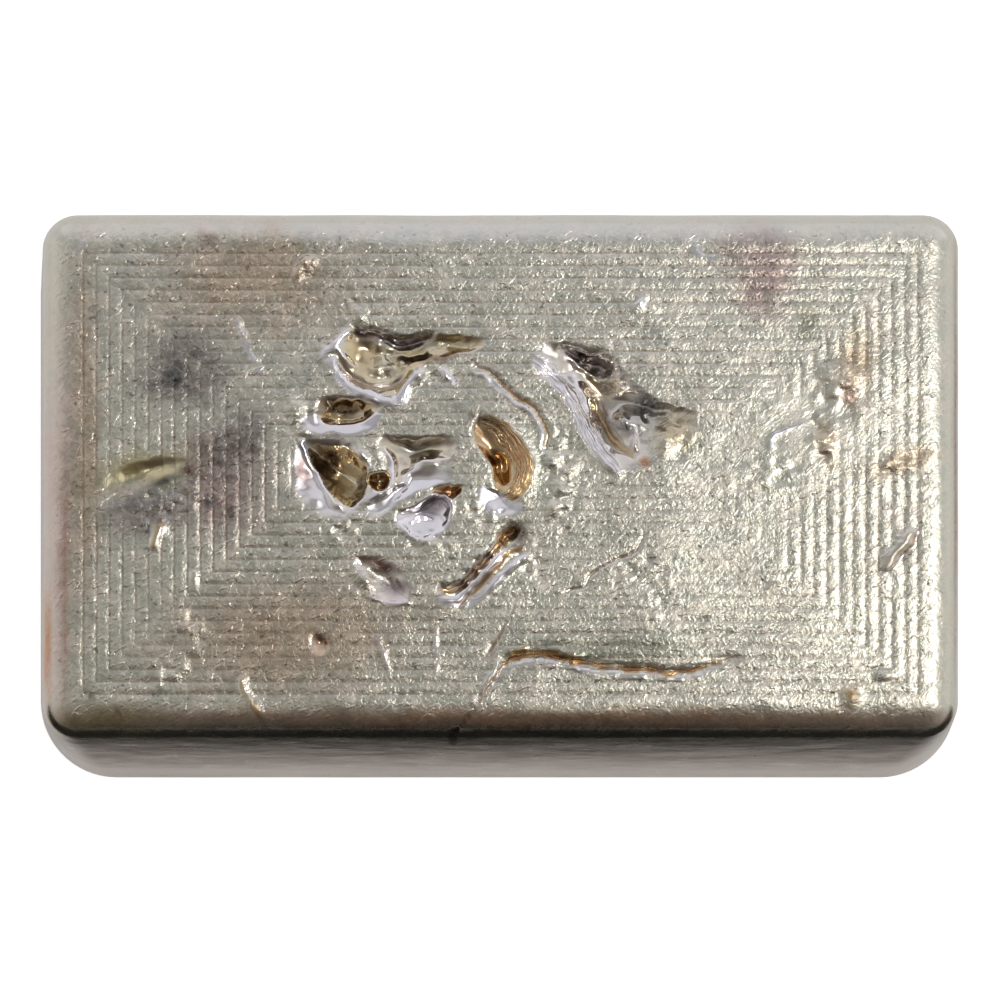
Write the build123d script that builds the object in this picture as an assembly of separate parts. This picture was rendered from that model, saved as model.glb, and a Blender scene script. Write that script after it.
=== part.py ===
from build123d import *
import os
from math import cos, radians, sin

# A metal ingot of about one kilogram, cast in one pour in an open milled mould.
# It lies on its wide open-cast face. Its upper face froze against the mould's floor,
# so it carries the cutter's rectangular track, gas cavities and cold-shut seams.
# Millimetres. Origin at the centre of the face it rests on, +X along the length, +Z up.

# The block
base_length = 95.0
base_width = 58.2
block_height = 21.5
wall_draft_degrees = 14.2
base_corner_radius = 8.2
top_edge_radius = 3.4
base_edge_break = 0.5

# The cutter's track on the upper face: a middle line with rings of V-shaped lines round it
track_core_half_length = 16.9
track_pitch_along_length = 1.198
track_pitch_along_width = 1.130
track_ring_count = 18
track_line_width = 0.34
track_line_depth = 0.11

# Section of a gas cavity from its mouth down: share of the rim's reach, share of the depth
cavity_section = ((0.96, 0.0), (0.60, 0.62), (0.22, 1.0))

# Gas cavities: the rim on the upper face, the lowest point and the depth there.
# The lowest point lies nearer the back rim, so the back wall is steep and the front slope gentle.
cavities = {
    "folded_hollow": dict(
        rim=((-14.0, 12.9), (-10.2, 12.9), (-6.3, 12.3), (-8.4, 8.6), (-11.2, 6.9), (-15.4, 9.6)),
        lowest=(-10.9, 10.6), depth=2.2),
    "slot": dict(
        rim=((-17.1, 6.9), (-13.9, 7.1), (-10.8, 6.1), (-13.0, 4.9), (-16.8, 4.8)),
        lowest=(-14.4, 6.0), depth=1.8),
    "round_bevel": dict(
        rim=((-19.7, 1.6), (-16.4, 3.5), (-12.6, 2.2), (-11.9, -2.0), (-15.2, -4.4), (-19.0, -2.4)),
        lowest=(-15.4, 0.4), depth=1.2),
    "round_pit": dict(
        rim=((-18.2, 2.9), (-15.2, 3.3), (-12.4, 1.2), (-13.0, -2.4), (-15.6, -2.2)),
        lowest=(-14.9, 0.9), depth=3.1),
    "channel": dict(
        rim=((-10.8, 2.4), (-7.4, 3.4), (-4.2, 3.0), (-5.2, 0.6), (-9.2, 0.0)),
        lowest=(-7.8, 2.0), depth=1.8),
    "kidney": dict(
        rim=((-9.8, -3.9), (-7.2, -2.1), (-4.3, -2.4), (-5.2, -5.4), (-8.4, -6.2)),
        lowest=(-6.6, -3.5), depth=1.5),
    "striped_flow": dict(
        rim=((-2.8, 4.4), (-0.4, 5.7), (2.1, 3.3), (3.4, -0.6), (1.6, -2.6), (-0.6, -1.6), (-1.4, 1.6)),
        lowest=(0.9, 1.5), depth=1.0),
    "wedge": dict(
        rim=((-13.4, -7.9), (-10.4, -7.9), (-8.2, -10.6), (-9.6, -12.0), (-12.0, -10.6)),
        lowest=(-10.5, -9.5), depth=1.2),
    "great_hollow": dict(
        rim=((3.0, 11.8), (8.2, 11.4), (13.2, 8.0), (18.6, 4.6), (15.0, 1.4), (11.2, -0.2), (7.8, 3.0),
             (4.6, 8.2)),
        lowest=(10.4, 6.8), depth=2.6),
}

# The bead of metal that ran into the great hollow as it froze: a mound on an oval foot.
# Its section goes from the foot up: share of the foot's reach, share of the rise.
bead_section = ((1.0, 0.0), (0.74, 0.72), (0.28, 1.0))
bead_middle = (11.7, 5.3)
bead_half_length = 2.2
bead_half_width = 1.6
bead_turn_degrees = 23.0
bead_foot_depth = 2.8
bead_crown_depth = 0.8

# Cold-shut seams and the deep gaps under the lips: middle line on the upper face, widest gap, depth
seams = {
    "folded_hollow_tail": dict(
        line=((-7.6, 11.6), (-4.6, 11.7), (-1.7, 12.1)), width=1.7, depth=0.9),
    "upper_seam": dict(
        line=((-2.6, 9.9), (0.3, 8.2), (3.4, 5.7), (4.3, 3.5), (4.2, 2.0)), width=0.6, depth=0.6),
    "lower_seam": dict(
        line=((22.0, -16.9), (14.7, -18.3), (9.1, -17.6), (2.4, -16.6), (-0.1, -18.1), (-2.4, -21.2)),
        width=0.7, depth=0.8),
    "diagonal_seam": dict(
        line=((-5.8, -12.0), (-1.8, -9.3), (0.4, -6.6), (2.2, -4.7)), width=1.3, depth=1.1),
    "short_seam": dict(
        line=((13.4, -5.5), (10.3, -8.2), (7.6, -10.4), (5.9, -10.9)), width=0.3, depth=0.25),
    "channel_throat": dict(
        line=((-11.8, 0.3), (-11.0, -0.7), (-10.5, -1.7)), width=1.1, depth=1.7),
    "flow_hook": dict(
        line=((-1.8, 2.1), (-0.2, 1.6), (0.6, 0.4), (0.7, -1.2)), width=1.1, depth=1.8),
    "great_undercut": dict(
        line=((5.0, 11.4), (7.4, 10.7), (9.2, 9.7), (10.9, 8.3)), width=1.2, depth=2.4),
}
seam_samples = 8

# How far the broken edge pulls the sharp drafted base edge in, on each side
draft = radians(wall_draft_degrees)
base_edge_loss = base_edge_break * sin(draft)


def block():
    """The drafted block: flared walls, round corners, a large radius round the upper face."""
    footprint = RectangleRounded(
        base_length + 2 * base_edge_loss, base_width + 2 * base_edge_loss, base_corner_radius)
    body = extrude(footprint, amount=block_height, taper=wall_draft_degrees)
    body = fillet(body.edges().group_by(Axis.Z)[-1], top_edge_radius)
    return chamfer(body.edges().group_by(Axis.Z)[0], base_edge_break)


def track_line(*corners):
    """A V swept along straight runs on the upper face: the line's width at the face, and open above it."""
    route = Polyline(*[(x, y, block_height) for x, y in corners])
    along = route % 0
    section = Plane(origin=route @ 0, x_dir=(-along.Y, along.X, 0), z_dir=along) * Polygon(
        (-track_line_width, track_line_depth), (track_line_width, track_line_depth),
        (0, -track_line_depth), align=None)
    return sweep(section, path=route, transition=Transition.RIGHT)


def track():
    """The middle line and the rectangles round it, each one pitch outside the last."""
    lines = [track_line((-track_core_half_length, 0), (track_core_half_length, 0))]
    for ring in range(1, track_ring_count + 1):
        x = track_core_half_length + ring * track_pitch_along_length
        y = ring * track_pitch_along_width
        lines.append(track_line((0, -y), (x, -y), (x, y), (-x, y), (-x, -y), (0, -y)))
    return lines


def cavity(rim, lowest, depth):
    """A smooth hollow: the rim's curve drawn in towards the lowest point as it goes down."""
    sections = []
    for reach, drop in cavity_section:
        points = [(lowest[0] + reach * (x - lowest[0]), lowest[1] + reach * (y - lowest[1]))
                  for x, y in rim]
        sections.append(Pos(0, 0, block_height - drop * depth) * make_face(Spline(*points, periodic=True)))
    return loft(sections)


def bead():
    """A smooth mound: its oval foot, sunk in the hollow's floor, drawn in towards the crown."""
    sections = []
    for reach, rise in bead_section:
        height = block_height - bead_foot_depth + rise * (bead_foot_depth - bead_crown_depth)
        oval = Rot(0, 0, bead_turn_degrees) * Ellipse(reach * bead_half_length, reach * bead_half_width)
        sections.append(Pos(*bead_middle, height) * oval)
    return loft(sections)


def seam(line, width, depth):
    """A steep-sided gap that is widest in its middle and runs out to a point at both ends."""
    middle = Spline(*line)
    left, right = [], []
    for sample in range(1, seam_samples):
        share = sample / seam_samples
        point, direction = middle @ share, middle % share
        across = Vector(-direction.Y, direction.X) * (width / 2 * (1 - (2 * share - 1) ** 2) ** 0.5)
        left.append(point + across)
        right.append(point - across)
    ends = (middle @ 0, middle @ 1)
    outline = Spline(ends[0], *left, ends[1]) + Spline(ends[0], *right, ends[1])
    return extrude(Pos(0, 0, block_height) * make_face(outline), amount=depth, both=True)


os.makedirs("parts", exist_ok=True)
ingot = block()
for line in track():
    ingot -= line
for form in cavities.values():
    ingot -= cavity(**form)
ingot += bead()
for form in seams.values():
    ingot -= seam(**form)
export_step(ingot, "parts/ingot.step")
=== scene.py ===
import math
import bpy
import numpy as np
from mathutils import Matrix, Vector


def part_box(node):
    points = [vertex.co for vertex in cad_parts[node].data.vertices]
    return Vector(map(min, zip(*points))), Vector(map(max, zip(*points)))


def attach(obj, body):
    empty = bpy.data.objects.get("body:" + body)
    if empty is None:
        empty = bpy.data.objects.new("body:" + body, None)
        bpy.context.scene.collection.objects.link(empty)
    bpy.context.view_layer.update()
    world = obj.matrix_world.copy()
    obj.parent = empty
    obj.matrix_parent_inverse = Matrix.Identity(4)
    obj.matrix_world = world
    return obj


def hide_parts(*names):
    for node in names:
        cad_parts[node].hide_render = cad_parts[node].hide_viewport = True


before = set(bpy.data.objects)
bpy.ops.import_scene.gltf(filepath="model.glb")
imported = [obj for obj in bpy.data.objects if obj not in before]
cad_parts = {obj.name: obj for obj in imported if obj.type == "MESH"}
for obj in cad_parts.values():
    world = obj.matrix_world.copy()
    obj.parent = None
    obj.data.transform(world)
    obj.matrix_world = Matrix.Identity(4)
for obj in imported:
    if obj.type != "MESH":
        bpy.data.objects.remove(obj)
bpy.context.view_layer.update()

# The cast block. Molten metal was poured into a milled mould with flared walls and froze there as one
# piece, so it has a rounded rim round the face that lay on the mould's floor. It rests on its open face.
# All sizes up to the mesh are in millimetres, in the frame's own axes.
to_millimetres = 1000
_, high_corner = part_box("ingot")
half_length = high_corner.x * to_millimetres
half_width = high_corner.y * to_millimetres
block_height = high_corner.z * to_millimetres
wall_draft = math.radians(14.2)
rim_radius = 3.4
foot_radius = 0.6

# Run of the rim and the wall outwards from the flat face, less what the foot's radius takes back
rim_turn = math.pi / 2 - wall_draft
face_inset = (block_height * math.tan(wall_draft) + rim_radius * math.tan(rim_turn / 2)
              - foot_radius * ((1 + math.sin(wall_draft)) / math.cos(wall_draft) - 1))
face_half_length = half_length - face_inset
face_half_width = half_width - face_inset


# The cutter's track. The mould's floor was milled in rectangles, one inside the other, and its cutter
# left a fine ridge between passes, so the casting has a narrow V-shaped line between flat bands.
track_pitch_x = 1.198
track_pitch_y = 1.130
track_core = 16.9
track_rings = 18
line_half_width = 0.17
line_depth = 0.058
band_crown = 0.007


def track(x, y):
    """The share of a line at each point, from 0 at its shoulders to 1 at its bottom, and of a band, from 0 at
    the lines to 1 halfway. Ring k is the rectangle |x| = core + k * pitch_x, |y| = k * pitch_y, so a point's
    ring number is the larger of (|x| - core) / pitch_x and |y| / pitch_y. Its distance to the nearest whole
    number, times the pitch, is the distance to a line. Half a pitch outside the last ring the track ends."""
    ring_x = (np.abs(x) - track_core) / track_pitch_x
    ring_y = np.abs(y) / track_pitch_y
    along_width = ring_x > ring_y
    ring = np.where(along_width, ring_x, ring_y)
    pitch = np.where(along_width, track_pitch_x, track_pitch_y)
    off_line = np.abs(ring - np.round(ring)) * pitch
    inside = ring < track_rings + 0.5
    line = inside * np.clip(1 - off_line / line_half_width, 0, 1)
    band = inside * (1 - (2 * (ring - np.floor(ring)) - 1) ** 2)
    return line, band


# Where the track is smeared flat or faint: middle, half sizes, turn, share of the track that is lost
smears = [
    ((26.5, 3.0), (6.5, 6.0), 0.3, 1.0),
    ((31.0, 7.5), (3.0, 3.2), 0.3, 0.8),
    ((19.5, 1.5), (5.0, 4.5), 0.0, 0.8),
    ((23.5, -4.5), (6.0, 4.5), 0.2, 0.75),
    ((12.0, -9.5), (15.0, 4.0), 0.0, 0.55),
    ((8.0, 3.0), (14.0, 5.0), 0.0, 0.4),
    ((22.0, 13.5), (9.0, 3.0), 0.0, 0.35),
    ((-34.0, -2.0), (4.5, 3.5), 0.2, 0.9),
    ((-18.0, -16.5), (10.0, 3.0), 0.0, 0.5),
    ((34.0, 4.5), (4.0, 4.0), 0.0, 0.5),
]


def oval_share(x, y, at, size, turn):
    """Distance from the middle of a turned oval, measured in its half sizes."""
    dx, dy = x - at[0], y - at[1]
    c, s = math.cos(turn), math.sin(turn)
    return np.hypot((dx * c + dy * s) / size[0], (dy * c - dx * s) / size[1])


def soft_oval(x, y, at, size, turn):
    """Strength of a patch that fades out at its edge: exp(-s ** 4) at the oval share s."""
    return np.exp(-oval_share(x, y, at, size, turn) ** 4)


def track_kept(x, y):
    """Share of the track that still shows: the product of 1 - amount * strength over the smears."""
    kept = np.ones_like(x)
    for at, size, turn, amount in smears:
        kept *= 1 - amount * soft_oval(x, y, at, size, turn)
    return kept


# Grid lines of the face: on the lines of the track, and closer together where the cavities are
fine_step_x = 0.19
fine_step_y = 0.17
coarse_step = 0.45
fine_part_x = (-19.9, 18.9)
fine_part_y = (-12.6, 13.6)


def grid_lines(stop, lines, fine_step, fine_part):
    """Grid lines from -stop to stop: each track line and its two shoulders, then even steps between
    shoulders, fine where the middle of the band lies in the fine part and coarse elsewhere."""
    marks = [-stop]
    for line in lines:
        marks += [line - line_half_width, line, line + line_half_width]
    marks = [mark for mark in marks if -stop <= mark <= stop] + [stop]
    steps = [np.array([-stop])]
    for a, b in zip(marks[:-1], marks[1:]):
        step = fine_step if fine_part[0] < (a + b) / 2 < fine_part[1] else coarse_step
        steps.append(np.linspace(a, b, max(1, round((b - a) / step)) + 1)[1:])
    return np.concatenate(steps)


rings = np.arange(1, track_rings + 1)
ring_x = track_core + rings * track_pitch_x
ring_y = rings * track_pitch_y
columns = grid_lines(face_half_length, np.concatenate([-ring_x[::-1], ring_x]), fine_step_x, fine_part_x)
rows = grid_lines(face_half_width, np.concatenate([-ring_y[::-1], [0], ring_y]), fine_step_y, fine_part_y)


# The gas cavities. Gas between the metal and the mould's floor kept the metal back, and its free surface
# froze as smooth bowls, tongues and lips. They are the brightest and the darkest places on the block.
def cubic_spans(before, here, after, last, steps):
    """Points on the cubic from each point here to the one after it, with the tangents
    (after - before) / 2 at its start and (last - here) / 2 at its end."""
    t = (np.arange(steps) / steps)[:, None, None]
    curve = (here + t * (after - before) / 2 + t ** 2 * (before - 2.5 * here + 2 * after - last / 2)
             + t ** 3 * (1.5 * (here - after) + (last - before) / 2))
    return curve.transpose(1, 0, 2).reshape(-1, 2)


def closed_curve(points, steps=14):
    """A smooth closed curve through the points, with one cubic between each two."""
    p = np.array(points, float)
    return cubic_spans(np.roll(p, 1, 0), p, np.roll(p, -1, 0), np.roll(p, -2, 0), steps)


def share_to_rim(x, y, rim, low):
    """Distance from the low point as a share of the distance from it to the rim in the same direction."""
    curve = closed_curve(rim) - low
    angle, reach = np.arctan2(curve[:, 1], curve[:, 0]), np.hypot(curve[:, 0], curve[:, 1])
    order = np.argsort(angle)
    here = np.arctan2(y - low[1], x - low[0])
    return np.hypot(x - low[0], y - low[1]) / np.interp(here, angle[order], reach[order], period=2 * np.pi)


# Each hollow: its rim, lowest point, depth, how flat its floor is, and how gold its film of oxide is
hollows = [
    # The folded hollow, its tail and the dark undercut along its upper edge
    ([(-14.2, 13.1), (-11.3, 12.8), (-9.2, 13.0), (-6.4, 12.8), (-5.6, 11.2), (-7.6, 9.4), (-8.6, 7.9),
      (-9.6, 6.7), (-10.8, 6.5), (-12.4, 7.1), (-14.2, 7.9), (-15.3, 9.0), (-15.7, 10.3), (-15.2, 11.7)],
     (-10.9, 10.7), 1.9, 2.8, 0.45),
    ([(-6.9, 13.0), (-3.8, 12.8), (-1.6, 12.5), (-1.5, 11.6), (-3.8, 10.9), (-6.0, 10.3), (-8.0, 11.2)],
     (-5.0, 12.0), 0.8, 2.5, 0.5),
    # The slope below the slot, and the slot
    ([(-18.6, 5.4), (-16.7, 5.8), (-13.0, 5.6), (-10.6, 5.9), (-10.9, 4.2), (-13.0, 3.3), (-15.8, 3.2),
      (-18.4, 3.5)], (-14.6, 5.2), 0.55, 1.6, 0.0),
    ([(-17.1, 7.0), (-13.9, 7.15), (-11.6, 6.9), (-10.8, 6.1), (-11.6, 5.3), (-12.8, 4.8), (-14.8, 4.6),
      (-16.7, 4.8)], (-14.2, 5.7), 1.7, 2.4, 0.5),
    # The round pit inside its wide bevel
    ([(-19.7, 2.5), (-18.6, 3.5), (-16.2, 3.5), (-14.4, 3.3), (-12.7, 2.2), (-11.9, 0.3), (-11.7, -1.8),
      (-13.0, -3.7), (-14.6, -4.6), (-16.9, -4.4), (-18.6, -3.1), (-19.8, -0.8)], (-15.0, 0.8), 1.3, 1.7,
     0.05),
    ([(-18.3, 3.3), (-16.9, 3.3), (-14.7, 3.1), (-13.2, 2.3), (-12.3, 0.7), (-12.3, -1.2), (-13.4, -2.9),
      (-14.7, -3.5), (-15.9, -2.1), (-16.6, -0.4), (-17.6, 1.2)], (-13.6, -0.9), 2.3, 2.0, 0.55),
    # The channel to its right, with its dark throat and the smooth slope below it
    ([(-11.4, 3.2), (-9.7, 3.5), (-7.0, 3.5), (-4.2, 3.5), (-4.0, 1.8), (-4.7, 0.5), (-6.5, 0.5),
      (-8.4, -0.2), (-9.6, -1.2), (-11.0, -0.8)], (-7.6, 2.3), 1.6, 2.2, 0.35),
    ([(-12.2, 0.2), (-10.3, 0.1), (-10.1, -1.0), (-10.8, -1.8), (-12.0, -1.6), (-12.6, -0.8)],
     (-11.1, -0.5), 1.7, 2.6, 0.7),
    ([(-8.6, 0.9), (-7.0, 1.1), (-4.5, 0.7), (-4.0, -0.6), (-6.2, -1.5), (-8.9, -2.6), (-12.2, -4.4),
      (-13.0, -3.2), (-11.4, -1.9), (-9.6, -1.2)], (-8.3, -0.6), 0.6, 1.6, 0.0),
    # The kidney-shaped hollow with the dark pit above it
    ([(-9.9, -3.8), (-8.5, -3.1), (-7.2, -2.3), (-5.8, -1.8), (-4.4, -2.5), (-4.2, -4.1), (-5.2, -5.5),
      (-6.4, -6.3), (-8.0, -6.3), (-9.6, -5.2)], (-6.6, -3.3), 1.2, 2.4, 0.0),
    ([(-6.3, -1.2), (-3.6, -1.0), (-3.8, -2.0), (-4.5, -2.6), (-5.3, -2.0), (-6.3, -2.1)], (-4.7, -1.6),
     1.2, 2.4, 0.75),
    # The striped flow: a shallow bed, with the hooked hole in it
    ([(-2.9, 4.4), (-1.9, 5.8), (-0.3, 5.7), (1.0, 4.7), (2.0, 3.5), (2.8, 2.1), (3.4, 0.5), (3.4, -0.9),
      (2.8, -1.9), (1.7, -2.7), (-0.5, -2.3), (-0.7, -0.4), (-1.2, 0.8), (-2.1, 2.0), (-2.8, 3.1)],
     (0.6, 1.8), 0.9, 3.0, 0.85),
    ([(-1.8, 2.2), (-0.1, 2.4), (0.7, 1.2), (1.0, -0.6), (0.2, -1.5), (-0.5, 0.3), (-1.1, 1.0)], (0.0, 0.9),
     1.2, 2.2, 0.9),
    ([(-2.4, -1.2), (0.2, -1.8), (2.2, -2.4), (1.8, -3.8), (-0.6, -4.0), (-2.2, -3.2)], (0.2, -2.2), 0.4,
     1.6, 0.0),
    # The wedge
    ([(-13.6, -7.9), (-11.2, -7.6), (-9.1, -8.8), (-8.0, -10.7), (-8.5, -12.0), (-10.4, -12.2),
      (-11.9, -11.0), (-13.0, -9.5)], (-9.9, -10.4), 0.85, 2.0, 0.15),
    # The great hollow, and the dark undercut along its upper edge
    ([(2.4, 11.2), (3.6, 12.5), (5.5, 12.0), (8.2, 11.4), (9.9, 10.7), (11.6, 9.3), (14.0, 7.2),
      (16.3, 6.0), (18.8, 5.4), (18.4, 3.5), (16.6, 2.3), (14.8, 1.3), (13.1, 0.2), (11.6, -0.5),
      (10.0, 0.2), (8.1, 2.0), (7.0, 3.9), (5.7, 6.3), (4.4, 8.1), (2.7, 9.7)], (10.2, 7.3), 2.3, 2.0, 0.2),
    ([(5.4, 11.8), (8.2, 11.4), (10.0, 10.6), (11.2, 9.2), (9.4, 8.7), (7.3, 9.9)], (8.7, 10.3), 1.2, 2.2,
     0.25),
    # The smeared olive dent far to the left, and a small pit
    ([(-37.6, -1.8), (-35.4, 0.8), (-31.6, 1.7), (-28.0, 1.3), (-29.6, -0.5), (-32.8, -1.9), (-36.4, -3.4)],
     (-32.2, 0.5), 0.60, 1.4, 0.4),
    ([(-17.8, -15.2), (-15.9, -15.0), (-15.6, -16.6), (-17.2, -16.9)], (-16.5, -15.6), 0.7, 1.6, 0.35),
]


def hollow(x, y, rim, low, depth, flatness):
    """Relief of a smooth hollow: -depth * (1 - s ** flatness) ** 2, where s is the share to the rim. It
    leaves the face and meets its floor without a crease, and is steepest where the rim is near."""
    s = np.clip(share_to_rim(x, y, rim, low), 0, 1)
    return -depth * (1 - s ** flatness) ** 2


# Where the free surface froze rough, as crystals: middle, half sizes, turn
crystals = [
    ((-10.4, 10.2), (1.6, 1.4), 0.2),
    ((-5.2, 11.9), (3.0, 0.7), 0.0),
    ((-13.2, -1.2), (0.9, 1.5), 0.0),
    ((15.4, 3.6), (2.2, 2.8), -0.5),
    ((9.5, 9.2), (2.2, 0.9), -0.6),
    ((-34.6, -1.6), (2.6, 1.6), 0.4),
    ((-30.6, 0.7), (2.2, 0.8), 0.1),
    ((-11.6, -9.4), (2.0, 1.5), 0.5),
]
crystal_loss = 0.8
free_from_depth = 0.12


def hollow_relief(x, y):
    """Sum of the hollows, the share of the surface that froze free in them, and how gold it is: the film of
    the last hollow that reaches the point. The share is full from about an eighth of a hollow's depth down,
    and crystals take most of it away."""
    relief, free, gold = np.zeros_like(x), np.zeros_like(x), np.zeros_like(x)
    for rim, low, depth, flatness, film in hollows:
        one = hollow(x, y, rim, low, depth, flatness)
        share = np.clip(-one / (free_from_depth * depth), 0, 1)
        relief, free = relief + one, np.maximum(free, share)
        gold = gold * (1 - share) + film * share
    for at, size, turn in crystals:
        free = free * (1 - crystal_loss * soft_oval(x, y, at, size, turn))
    return relief, free, gold


# Pillows, knobs and drops, metal that ran on as the rest froze: middle, half sizes, turn, height
domes = [
    ((-10.9, 10.3), (3.7, 2.1), 0.1, 0.80),
    ((-14.7, -1.6), (1.7, 1.9), -0.2, 0.75),
    ((-13.2, 1.3), (1.2, 1.5), 0.3, 0.70),
    ((-6.6, 1.4), (2.6, 1.0), 0.12, 0.55),
    ((-7.4, -4.7), (2.0, 1.2), 0.25, 0.35),
    ((11.9, 5.0), (2.3, 1.9), 0.4, 0.85),
    ((11.4, 4.9), (0.8, 1.0), 0.3, 0.50),
    ((12.4, 2.9), (0.45, 1.2), 0.0, 0.45),
    ((15.3, 3.2), (1.6, 2.0), -0.5, 0.50),
    ((-18.9, 5.9), (1.2, 1.5), 0.3, 0.40),
    ((-3.7, -9.8), (0.50, 0.55), 0.0, 0.50),
    ((-2.9, -8.7), (0.50, 0.60), 0.0, 0.50),
    ((-1.9, -7.5), (0.50, 0.60), 0.0, 0.45),
    ((-12.6, -9.6), (1.1, 1.3), 0.6, 0.35),
    ((31.2, 8.4), (2.3, 2.6), 0.3, 0.35),
    ((32.3, -20.6), (1.1, 1.0), 0.0, 0.42),
    ((35.4, -18.6), (1.0, 0.8), 0.2, 0.30),
    ((-17.8, 19.2), (1.9, 1.2), 0.2, 0.25),
    ((-13.0, 14.6), (1.0, 0.8), 0.2, 0.25),
    ((4.6, 1.2), (0.9, 0.9), 0.0, 0.25),
    ((5.4, -1.4), (0.9, 1.3), 0.3, 0.30),
    ((4.8, -3.4), (0.8, 1.1), -0.3, 0.25),
]


def dome_relief(x, y):
    """Sum of domes: height * (1 - s ** 2) ** 2, where s is the distance from the middle in half sizes."""
    relief = np.zeros_like(x)
    for at, size, turn, height in domes:
        share = np.clip(oval_share(x, y, at, size, turn), 0, 1)
        relief += height * (1 - share ** 2) ** 2
    return relief


# Folds: lips that rolled over as the metal froze, cold-shut seams where two fronts met, and scratches
def open_curve(points, steps=10):
    """A smooth curve through the points, drawn straight on past both ends to give the end cubics tangents."""
    p = np.array(points, float)
    p = np.concatenate([[2 * p[0] - p[1]], p, [2 * p[-1] - p[-2]]])
    return np.concatenate([cubic_spans(p[:-3], p[1:-2], p[2:-1], p[3:], steps), p[-2:-1]])


def from_route(x, y, route):
    """Signed distance to a smooth route, positive on its left, and the share of the route passed."""
    curve = open_curve(route)
    nearest = np.full(x.shape, np.inf)
    signed, share = np.zeros_like(x), np.zeros_like(x)
    spans = len(curve) - 1
    for i in range(spans):
        ax, ay = curve[i]
        bx, by = curve[i + 1] - curve[i]
        t = np.clip(((x - ax) * bx + (y - ay) * by) / (bx * bx + by * by), 0, 1)
        dx, dy = x - ax - t * bx, y - ay - t * by
        distance = np.hypot(dx, dy)
        closer = distance < nearest
        nearest = np.where(closer, distance, nearest)
        signed = np.where(closer, np.copysign(distance, bx * dy - by * dx), signed)
        share = np.where(closer, (i + t) / spans, share)
    return signed, share


def fold(route, width, height, gold=0.0, stripes=0.0):
    """A fold's route, half width, height (negative for a gap), gold film, and how striped it is."""
    return dict(route=route, width=width, height=height, gold=gold, stripes=stripes)


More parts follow.
